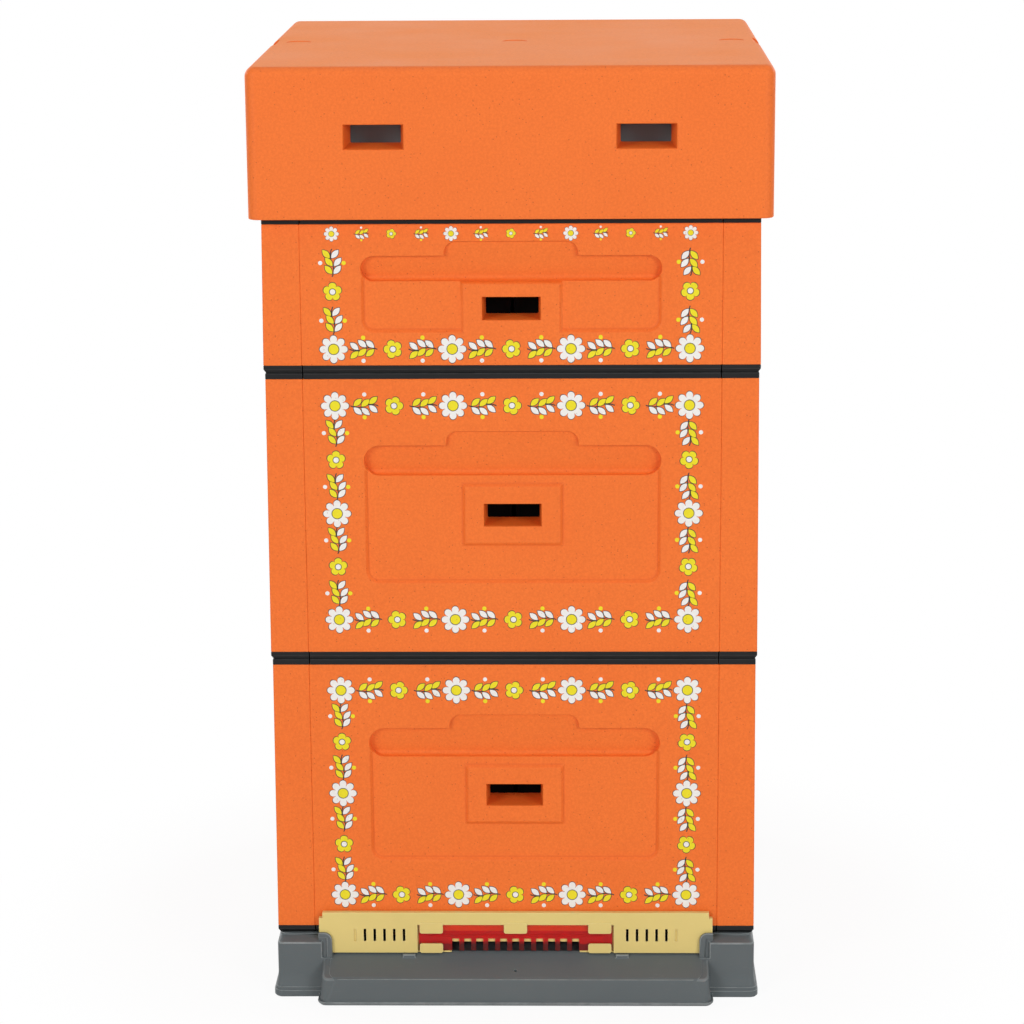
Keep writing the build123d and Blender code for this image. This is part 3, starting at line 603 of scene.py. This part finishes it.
def woodMaterial(settings):
    material, tree, shader = newMaterial("barWood", settings)
    along = addPlaced(tree, "ShaderNodeMapping", objectPlace(tree), {"Scale": settings["stretch"]})
    ring = addPlaced(tree, "ShaderNodeTexNoise", along.outputs[0], settings["ringNoise"])
    fibre = addPlaced(tree, "ShaderNodeTexNoise", along.outputs[0], settings["fibreNoise"])
    late = addRange(tree, ring.outputs[0], *settings["ringSpan"], 0.0, 1.0)
    rings = addMath(tree, "MULTIPLY", late, settings["ringShare"])
    fibres = addMath(tree, "MULTIPLY", fibre.outputs[0], settings["fibreShare"])
    paint = addMix(tree, addMath(tree, "ADD", rings, fibres), settings["colour"], settings["deep"])
    tree.links.new(paint, shader.inputs["Base Color"])
    addBump(tree, shader, fibre.outputs[0], settings)
    return material


# rolled wax sheet with shallow cell marks
waxSettings = {
    "colour": (0.66, 0.40, 0.075),
    "paler": (0.74, 0.50, 0.13),
    "flatten": (0.0, 1.0, 1.0),
    "cells": {"Scale": 190.0, "Randomness": 0.12},
    "cloudNoise": {"Scale": 22.0, "Detail": 3.0},
    "cloudSpan": (0.35, 0.65),
    "roughness": 0.46,
    "specular": 0.45,
    "bump": 0.5,
    "bumpDistance": 0.0006,
}


def waxMaterial(settings):
    material, tree, shader = newMaterial("rolledWax", settings)
    place = objectPlace(tree)
    flat = addPlaced(tree, "ShaderNodeMapping", place, {"Scale": settings["flatten"]})
    cell = addPlaced(tree, "ShaderNodeTexVoronoi", flat.outputs[0], settings["cells"], feature="F1")
    cloud = addPlaced(tree, "ShaderNodeTexNoise", place, settings["cloudNoise"])
    tone = addRange(tree, cloud.outputs[0], *settings["cloudSpan"], 0.0, 1.0)
    paint = addMix(tree, tone, settings["colour"], settings["paler"])
    tree.links.new(paint, shader.inputs["Base Color"])
    addBump(tree, shader, cell.outputs["Distance"], settings)
    return material


# galvanised sheet with faint crystal patches
steelSettings = {
    "colour": (0.55, 0.56, 0.57),
    "other": (0.66, 0.67, 0.68),
    "patches": {"Scale": 70.0},
    "roughness": 0.38,
    "roughnessSpan": (0.30, 0.48),
    "specular": 0.5,
    "metallic": 1.0,
}


def steelMaterial(settings):
    material, tree, shader = newMaterial("galvanisedSheet", settings)
    shader.inputs["Metallic"].default_value = settings["metallic"]
    patch = addPlaced(tree, "ShaderNodeTexVoronoi", objectPlace(tree), settings["patches"], feature="F1")
    split = addNode(tree, "ShaderNodeSeparateColor")
    tree.links.new(patch.outputs["Color"], split.inputs[0])
    paint = addMix(tree, split.outputs[0], settings["colour"], settings["other"])
    tree.links.new(paint, shader.inputs["Base Color"])
    gloss = addRange(tree, split.outputs[1], 0.0, 1.0, *settings["roughnessSpan"])
    tree.links.new(gloss, shader.inputs["Roughness"])
    return material


# milky clear plastic of the feeder's cap
capSettings = {
    "colour": (0.78, 0.80, 0.80),
    "other": (0.70, 0.73, 0.74),
    "toneSpan": (0.3, 0.7),
    "roughness": 0.28,
    "specular": 0.5,
    "clear": 0.55,
    "bend": 1.49,
    "bump": 0.15,
    "bumpDistance": 0.0001,
}


def capMaterial(settings):
    material, tree, shader = newMaterial("milkyPlastic", settings)
    shader.inputs["Transmission Weight"].default_value = settings["clear"]
    shader.inputs["IOR"].default_value = settings["bend"]
    grain = addNode(tree, "ShaderNodeGroup", node_tree=mouldGrain)
    tone = addRange(tree, grain.outputs["Smear"], *settings["toneSpan"], 0.0, 1.0)
    paint = addMix(tree, tone, settings["colour"], settings["other"])
    tree.links.new(paint, shader.inputs["Base Color"])
    addBump(tree, shader, grain.outputs["Grain"], settings)
    return material


barWood = woodMaterial(woodSettings)
rolledWax = waxMaterial(waxSettings)
galvanisedSheet = steelMaterial(steelSettings)
milkyPlastic = capMaterial(capSettings)
print("materials built:", len(bpy.data.materials))


# a CAD node is copied, its facets joined and its hard edges rounded as the mould leaves them
skinShared = {
    "merge": 0.00001,
    "joinTurn": 0.6,
    "leastTurn": 24.0,
    "steepTurn": 70.0,
    "hollow": 0.0,
    "slope": 0.0005,
    "ridge": 0.0005,
    "segments": 2,
    "share": 0.45,
    "tight": 0.7,
    "least": 0.00015,
    "chainTurn": 40.0,
    "straightTurn": 150.0,
    "leastSlant": 0.3,
    "tries": 7,
    "ease": 0.6,
    "easeReach": 0.003,
    "smallest": 5e-8,
    "skinGap": 0.0004,
    "turnedOver": -0.15,
    "foldedOver": 0.2,
    "sharp": 40.0,
    "flatWeight": 60,
}
skinSettings = {
    "wall": {**skinShared, "hollow": 0.0012, "slope": 0.0014, "ridge": 0.00095, "segments": 3, "tight": 0.8},
    "rail": skinShared,
    "roof": {**skinShared, "hollow": 0.0012, "slope": 0.0012, "ridge": 0.0014, "segments": 3},
    "floor": {**skinShared, "hollow": 0.0010, "slope": 0.0013, "ridge": 0.0014, "segments": 3, "tight": 0.35},
    "closure": {**skinShared, "slope": 0.0004, "ridge": 0.0004},
    "gate": {**skinShared, "slope": 0.0003, "ridge": 0.0003},
    "pan": {**skinShared, "hollow": 0.0012, "slope": 0.0008, "ridge": 0.0008},
    "bar": {**skinShared, "slope": 0.0007, "ridge": 0.0007},
}
roundedSlot = 1  # material slot that marks the rounded faces until they get their attributes


def gapToEdge(point, edge):
    start, end = (vert.co for vert in edge.verts)
    run = end - start
    share = max(0.0, min(1.0, (point - start).dot(run) / run.length_squared))
    return (point - start - run * share).length


def runsOn(edge, vert, link, settings):
    turn = (vert.co - edge.other_vert(vert).co).angle(link.other_vert(vert).co - vert.co)
    return turn < math.radians(settings["chainTurn"])


def isNextAlong(edge, other, face, chosen, settings):
    for vert in edge.verts:
        for link in vert.link_edges:
            between = link is not edge and link in chosen and link in face.edges
            if between and link.other_vert(vert) in other.verts and runsOn(edge, vert, link, settings):
                return True
    return False


# the widest rounding that an edge can take without running into its neighbours
def edgeRoom(edge, chosen, settings):
    share = settings["share"]
    room = math.inf
    for face in edge.link_faces:
        for other in face.edges:
            shared = set(edge.verts) & set(other.verts)
            if other is edge:
                continue
            if shared:
                corner = shared.pop()
                away = other.other_vert(corner).co - corner.co
                angle = away.angle(edge.other_vert(corner).co - corner.co)
                if other not in chosen and math.sin(angle) > settings["leastSlant"]:
                    room = min(room, share * other.calc_length() * math.sin(angle))
                elif other in chosen and angle < math.radians(settings["straightTurn"]):
                    shorter = min(edge.calc_length(), other.calc_length())
                    room = min(room, share * shorter * math.tan(angle / 2.0))
            elif not isNextAlong(edge, other, face, chosen, settings):
                gaps = [gapToEdge(vert.co, edge) for vert in other.verts]
                gaps += [gapToEdge(vert.co, other) for vert in edge.verts]
                room = min(room, share * min(gaps))
    return room


def edgeWidth(edge, settings):
    if len(edge.link_faces) != 2:
        return 0.0
    turn = math.degrees(edge.calc_face_angle_signed())
    if turn < -settings["leastTurn"]:
        return settings["hollow"]
    if turn > settings["steepTurn"]:
        return settings["ridge"]
    return settings["slope"] if turn > settings["leastTurn"] else 0.0


def bevelCopy(bm, widest, segments):
    mesh = bpy.data.meshes.new("bevelCopy")
    bm.to_mesh(mesh)
    for slotIndex in range(roundedSlot + 1):
        mesh.materials.append(None)
    copy = addToScene("bevelCopy", mesh)
    bevel = copy.modifiers.new("roundEdges", "BEVEL")
    bevel.limit_method = "WEIGHT"
    bevel.offset_type = "OFFSET"
    bevel.width = widest
    bevel.segments = segments
    bevel.profile = 0.5
    bevel.use_clamp_overlap = False
    bevel.loop_slide = False
    bevel.material = roundedSlot
    rounded = bmesh.new()
    rounded.from_mesh(copy.evaluated_get(bpy.context.evaluated_depsgraph_get()).to_mesh())
    bpy.data.objects.remove(copy)
    bpy.data.meshes.remove(mesh)
    return rounded


# places where a rounding had too little room: a face turned over, or an outline that crosses itself
def turnedSpots(rounded, skin, settings):
    smallest = settings["smallest"]
    spots = []
    rounded.normal_update()
    for face in rounded.faces:
        centre = face.calc_center_median()
        _, normal, _, gap = skin.find_nearest(centre)
        onSkin = face.calc_area() > smallest and gap < settings["skinGap"]
        if onSkin and normal.dot(face.normal) < settings["turnedOver"]:
            spots.append(centre)
    for corners in rounded.calc_loop_triangles():
        first, second, third = (corner.vert.co for corner in corners)
        across = (second - first).cross(third - first)
        facing = across.normalized().dot(corners[0].face.normal)
        if across.length > 2.0 * smallest and facing < settings["foldedOver"]:
            sides = ((first, second), (second, third), (third, first))
            nearest = min(sides, key=lambda side: (side[0] - side[1]).length)
            spots.append((nearest[0] + nearest[1]) / 2.0)
    return spots


# edges that run on into each other get one width, so that the rounding stays even along a curve
def smoothChains(wanted, settings):
    left = dict.fromkeys(wanted)
    chains = []
    for first in wanted:
        if first not in left:
            continue
        del left[first]
        chain = [first]
        for edge in chain:
            for vert in edge.verts:
                for link in vert.link_edges:
                    if link in left and runsOn(edge, vert, link, settings):
                        del left[link]
                        chain.append(link)
        chains.append(chain)
    return chains


# tight edges at the ends of a chain stay sharp, so that the rest gets its full width
def trimEnds(chain, rooms, wanted, share):
    kept = list(chain)
    tight = True
    while tight and len(kept) > 1:
        tight = [edge for edge in kept if rooms[edge] < share * wanted[edge]
                 and any(sum(vert in other.verts for other in kept) == 1 for vert in edge.verts)]
        kept = [edge for edge in kept if edge not in tight]
    return kept or chain


def setWidths(widths, weights, widest, least):
    for chain, width in widths:
        for edge in chain:
            edge[weights] = width / widest if width > least else 0.0


def roundEdges(bm, settings):
    weights = bm.edges.layers.float.new("bevel_weight_edge")
    widest = max(settings["hollow"], settings["slope"], settings["ridge"])
    wanted = {edge: edgeWidth(edge, settings) for edge in bm.edges}
    wanted = {edge: width for edge, width in wanted.items() if width > 0.0}
    rooms = {edge: edgeRoom(edge, wanted, settings) for edge in wanted}
    wanted = {edge: width for edge, width in wanted.items() if rooms[edge] > settings["least"]}
    widths = []
    for chain in smoothChains(wanted, settings):
        kept = trimEnds(chain, rooms, wanted, settings["tight"])
        widths.append([kept, min(min(wanted[edge], rooms[edge]) for edge in kept)])
    setWidths(widths, weights, widest, settings["least"])
    skin = BVHTree.FromBMesh(bm)
    lowest = min(vert.co.z for vert in bm.verts)
    rounded = bevelCopy(bm, widest, settings["segments"])
    for attempt in range(settings["tries"]):
        spots = turnedSpots(rounded, skin, settings)
        spots += [vert.co.copy() for vert in rounded.verts if vert.co.z < lowest - settings["merge"]]
        if not spots:
            break
        for row in widths:
            if any(gapToEdge(spot, edge) < settings["easeReach"] for edge in row[0] for spot in spots):
                row[1] *= settings["ease"]
        setWidths(widths, weights, widest, settings["least"])
        rounded.free()
        rounded = bevelCopy(bm, widest, settings["segments"])
    for vert in rounded.verts:
        vert.co.z = max(vert.co.z, lowest)  # nothing reaches below the foot that the part stands on
    bm.free()
    return rounded


def joinFacets(nodeName, settings):
    bm = bmesh.new()
    bm.from_mesh(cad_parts[nodeName].data)
    bmesh.ops.remove_doubles(bm, verts=bm.verts, dist=settings["merge"])
    bmesh.ops.dissolve_limit(bm, angle_limit=math.radians(settings["joinTurn"]), use_dissolve_boundaries=False,
                             verts=bm.verts, edges=bm.edges)
    return bm


bodyNodes = {
    "floor": ("floor_shell", "floor_grille"),
    "drawer": ("varroa_drawer",),
    "closure": ("entrance_closure",),
    "gate": ("entrance_gate",),
    "feeder": ("feeder_pan", "feeder_cap"),
    "roof": ("roof_shell",),
}
for boxName in boxNames:
    bodyNodes[boxName] = tuple(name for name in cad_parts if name.startswith(boxName + "_"))


def bodyOf(nodeName):
    for bodyName, members in bodyNodes.items():
        if nodeName in members:
            return bodyName
    raise ValueError(nodeName)


def softenNode(nodeName, material, settings):
    bm = roundEdges(joinFacets(nodeName, settings), settings)
    wornHighlit = bm.faces.layers.float.new("wornHighlit")
    sunk = bm.faces.layers.float.new("sunk")
    for face in bm.faces:
        face.smooth = True
        if face.material_index == roundedSlot:
            bend = sum(edge.calc_face_angle_signed(0.0) * edge.calc_length() for edge in face.edges)
            # convex rounded faces are marked paler (wear and painted highlight), concave ones darker (painted
            # shade)
            face[wornHighlit] = 1.0 if bend > 0.0 else 0.0
            face[sunk] = 1.0 if bend < 0.0 else 0.0
            face.material_index = 0
    piece = newPiece(nodeName + "_skin", bm, material)
    keepFlatFaces(piece, settings)
    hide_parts(nodeName)
    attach(piece, bodyOf(nodeName))


for boxName in boxNames:
    for sideName in sideNames:
        wallName = boxName + "_" + sideName
        softenNode(wallName + "_wall", foamOrange, skinSettings["wall"])
        softenNode(wallName + "_top_rail", plastics["railBlack"], skinSettings["rail"])
        softenNode(wallName + "_bottom_rail", plastics["railBlack"], skinSettings["rail"])
    softenNode(boxName + "_top_bars", barWood, skinSettings["bar"])
    softenNode(boxName + "_bottom_bars", barWood, skinSettings["bar"])
    # the end bars' near-black stands partly for painted shade inside the box
    softenNode(boxName + "_end_bars", plastics["endBarShadeBlack"], skinSettings["bar"])
print("boxes dressed")


# garland printed on the front walls along a rectangle round the panel:
# flat ink shapes, a hair proud of the foam
printSettings = {
    "thickness": 0.0005,
    "rises": {"outline": 0.00008, "fill": 0.00014, "ring": 0.00018, "eye": 0.00022},
    "line": 0.0008,
    "roundSegments": 16,
    "lobeSegments": 12,
    "daisy": {
        "radius": 0.0150, "lobes": 8, "notch": 0.42, "ink": "white",
        "eye": 0.0054, "eyeInk": "yellow",
    },
    "blossom": {
        "radius": 0.0098, "lobes": 5, "notch": 0.36, "ink": "yellow",
        "eye": 0.0030, "eyeInk": "white",
    },
    "sprig": {
        "length": 0.030, "wave": 0.0018, "stem": 0.0013, "stemSegments": 12,
        "leaf": (0.0058, 0.0030), "leafTurn": 0.72, "leafShares": (-0.42, -0.14, 0.14),
    },
    "dot": {"radius": 0.0023, "offset": 0.0125},
    "wallLean": 0.0015,
    "topMargin": 0.001,
}
trackSettings = {
    "brood": {
        "half": 0.190, "foot": 0.0368, "top": 0.2748,
        "acrossSteps": 12, "upSteps": 8, "topScale": 1.0,
    },
    "super": {
        "half": 0.190, "foot": 0.0178, "top": 0.1418,
        "acrossSteps": 12, "upSteps": 4, "topScale": 0.53,
    },
}


def addRound(ink, segments, radius):
    return bmesh.ops.create_circle(ink, cap_ends=True, segments=segments, radius=radius)["verts"]


def layShape(ink, verts, rise, place):
    bmesh.ops.translate(ink, verts=verts, vec=(0.0, 0.0, rise))
    bmesh.ops.transform(ink, matrix=place, verts=verts)


def addDisc(ink, settings, radius, rise, place):
    verts = addRound(ink, settings["roundSegments"], radius)
    layShape(ink, verts, rise, place)


def addLobes(ink, settings, flower, radius, rise, place):
    lobes = flower["lobes"]
    verts = addRound(ink, lobes * settings["lobeSegments"], radius)
    for vert in verts:
        angle = math.atan2(vert.co.y, vert.co.x)
        vert.co *= 1.0 - flower["notch"] * (1.0 - math.sqrt(abs(math.cos(lobes * angle / 2.0))))
    layShape(ink, verts, rise, place)


def addLeaf(ink, settings, length, width, rise, place):
    verts = addRound(ink, settings["roundSegments"], 1.0)
    for vert in verts:
        vert.co.y *= abs(vert.co.y)  # squared, so both ends come to a point
    bmesh.ops.scale(ink, verts=verts, vec=(length, width, 1.0))
    layShape(ink, verts, rise, place)


def addFlower(inks, settings, flower, place):
    rises = settings["rises"]
    line = settings["line"]
    addLobes(inks["dark"], settings, flower, flower["radius"] + line, rises["outline"], place)
    addLobes(inks[flower["ink"]], settings, flower, flower["radius"], rises["fill"], place)
    addDisc(inks["dark"], settings, flower["eye"] + line, rises["ring"], place)
    addDisc(inks[flower["eyeInk"]], settings, flower["eye"], rises["eye"], place)


def addSprig(inks, settings, place):
    sprig = settings["sprig"]
    dot = settings["dot"]
    rises = settings["rises"]
    line = settings["line"]
    dark = inks["dark"]
    stem = bmesh.ops.create_grid(dark, x_segments=sprig["stemSegments"], y_segments=1, size=0.5)["verts"]
    bmesh.ops.scale(dark, verts=stem, vec=(sprig["length"], sprig["stem"], 1.0))
    for vert in stem:
        vert.co.y += sprig["wave"] * math.sin(math.tau * vert.co.x / sprig["length"])
    layShape(dark, stem, rises["outline"], place)
    length, width = sprig["leaf"]
    stalk = Matrix.Translation((length + sprig["stem"], 0.0, 0.0))
    for share in sprig["leafShares"]:
        rootSpot = (share * sprig["length"], sprig["wave"] * math.sin(math.tau * share), 0.0)
        for side, inkName in ((1.0, "yellow"), (-1.0, "white")):
            turn = Matrix.Rotation(side * sprig["leafTurn"], 4, "Z")
            leafPlace = place @ Matrix.Translation(rootSpot) @ turn @ stalk
            addLeaf(dark, settings, length + line, width + line, rises["outline"], leafPlace)
            addLeaf(inks[inkName], settings, length, width, rises["fill"], leafPlace)
    for side, inkName in ((1.0, "white"), (-1.0, "yellow")):
        dotPlace = place @ Matrix.Translation((0.0, side * dot["offset"], 0.0))
        addDisc(inks[inkName], settings, dot["radius"], rises["fill"], dotPlace)


# sprigs stand at every second step, with daisies and blossoms in turn between them
def addGarland(inks, settings, track, wallPlace):
    half = track["half"]
    corners = [Vector(place) for place in ((-half, track["top"], 0.0), (half, track["top"], 0.0),
                                           (half, track["foot"], 0.0), (-half, track["foot"], 0.0))]
    motif = 0
    for side in range(4):
        start = corners[side]
        run = corners[(side + 1) % 4] - start
        steps = track["upSteps"] if side % 2 else track["acrossSteps"]
        turn = Matrix.Rotation(math.atan2(run.y, run.x), 4, "Z")
        for step in range(steps):
            spot = start + run * (step / steps)
            scale = track["topScale"] if spot.y > track["top"] - settings["topMargin"] else 1.0
            place = wallPlace @ Matrix.Translation(spot) @ turn @ Matrix.Diagonal((scale, scale, 1.0, 1.0))
            if motif % 2:
                addSprig(inks, settings, place)
            else:
                addFlower(inks, settings, settings["blossom" if motif % 4 else "daisy"], place)
            motif += 1


def printWall(boxName, settings, track):
    low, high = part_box(boxName + "_front_wall")
    right = Vector((1.0, 0.0, 0.0))
    up = Vector((0.0, settings["wallLean"], high[2] - low[2])).normalized()
    wallPlace = Matrix((right, up, right.cross(up))).transposed().to_4x4()
    wallPlace.translation = (0.0, low[1], low[2])
    inks = {inkName: bmesh.new() for inkName in inkMaterials}
    addGarland(inks, settings, track, wallPlace)
    for inkName, ink in inks.items():
        ink.normal_update()
        bmesh.ops.solidify(ink, geom=ink.faces[:], thickness=settings["thickness"])
        piece = newPiece(boxName + "_print_" + inkName, ink, inkMaterials[inkName])
        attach(piece, boxName)


for boxName in boxNames:
    printWall(boxName, printSettings, trackSettings["super" if boxName == "super" else "brood"])
print("front walls printed")

softenNode("roof_shell", foamOrange, skinSettings["roof"])
softenNode("floor_shell", plastics["floorGrey"], skinSettings["floor"])
softenNode("entrance_closure", plastics["closureYellow"], skinSettings["closure"])
softenNode("entrance_gate", plastics["gateRed"], skinSettings["gate"])
softenNode("varroa_drawer", plastics["drawerWhite"], skinSettings["closure"])
softenNode("feeder_pan", plastics["feederGrey"], skinSettings["pan"])
softenNode("feeder_cap", milkyPlastic, skinSettings["closure"])
print("floor, closure, feeder and roof dressed")

# upright cheeks that carry the tower ribs down the landing's sides
cheekSettings = {
    "inner": 0.196,
    "outerFoot": 0.2172,
    "outerTop": 0.2146,
    "back": -0.266,
    "frontFoot": -0.2976,
    "frontTop": -0.2961,
    "foot": 0.0046,
    "ridge": 0.0306,
    "backTop": 0.0449,
    "margin": 0.001,
    "corner": 0.007,
    "cornerSegments": 6,
    "rim": 0.0020,
    "rimSegments": 3,
    "rimWornHighlit": 0.5,
    "sharp": 40.0,
    "flatWeight": 50,
}


def makeCheeks(settings):
    margin = settings["margin"]
    bm = bmesh.new()
    wornHighlit = bm.faces.layers.float.new("wornHighlit")
    for vert in bmesh.ops.create_cube(bm, size=1.0)["verts"]:
        atFront = vert.co.y < 0.0
        if vert.co.z < 0.0:
            depth = settings["frontFoot"] if atFront else settings["back"]
            goal = Vector((settings["outerFoot"], depth, settings["foot"]))
        elif atFront:
            goal = Vector((settings["outerTop"], settings["frontTop"], settings["ridge"]))
        else:
            goal = Vector((settings["outerTop"], settings["back"], settings["backTop"]))
        if vert.co.x < 0.0:
            goal.x = settings["inner"]
        bmesh.ops.translate(bm, verts=[vert], vec=goal - vert.co)
    outer = {vert for vert in bm.verts if vert.co.x > settings["outerTop"] - margin}
    front = {vert for vert in bm.verts if vert.co.y < settings["frontTop"] + margin}
    corner = [edge for edge in bm.edges if set(edge.verts) <= outer & front]
    bmesh.ops.bevel(bm, geom=corner, offset=settings["corner"], affect="EDGES",
                    segments=settings["cornerSegments"], profile=0.5, material=-1)
    top = max(bm.faces, key=lambda face: face.normal.z)
    rim = []
    for edge in top.edges:
        middle = (edge.verts[0].co + edge.verts[1].co) / 2.0
        if middle.x > settings["inner"] + margin and middle.y < settings["back"] - margin:
            rim.append(edge)
    rounded = bmesh.ops.bevel(bm, geom=rim, offset=settings["rim"], affect="EDGES",
                              segments=settings["rimSegments"], profile=0.5, material=-1)
    for face in rounded["faces"]:
        # the cheek's rim is marked paler: wear and a painted highlight
        face[wornHighlit] = settings["rimWornHighlit"]
    bmesh.ops.mirror(bm, geom=bm.verts[:] + bm.edges[:] + bm.faces[:], axis="X", merge_dist=0.0)
    bmesh.ops.recalc_face_normals(bm, faces=bm.faces[:])
    for face in bm.faces:
        face.smooth = True
    piece = newPiece("landingCheeks", bm, plastics["floorGrey"])
    keepFlatFaces(piece, settings)
    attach(piece, "floor")


makeCheeks(cheekSettings)
print("landing cheeks built")


def paintNode(nodeName, material):
    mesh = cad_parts[nodeName].data
    mesh.materials.clear()
    mesh.materials.append(material)


for boxName in boxNames:
    paintNode(boxName + "_wax_sheets", rolledWax)
paintNode("floor_grille", galvanisedSheet)
print("carried nodes painted")
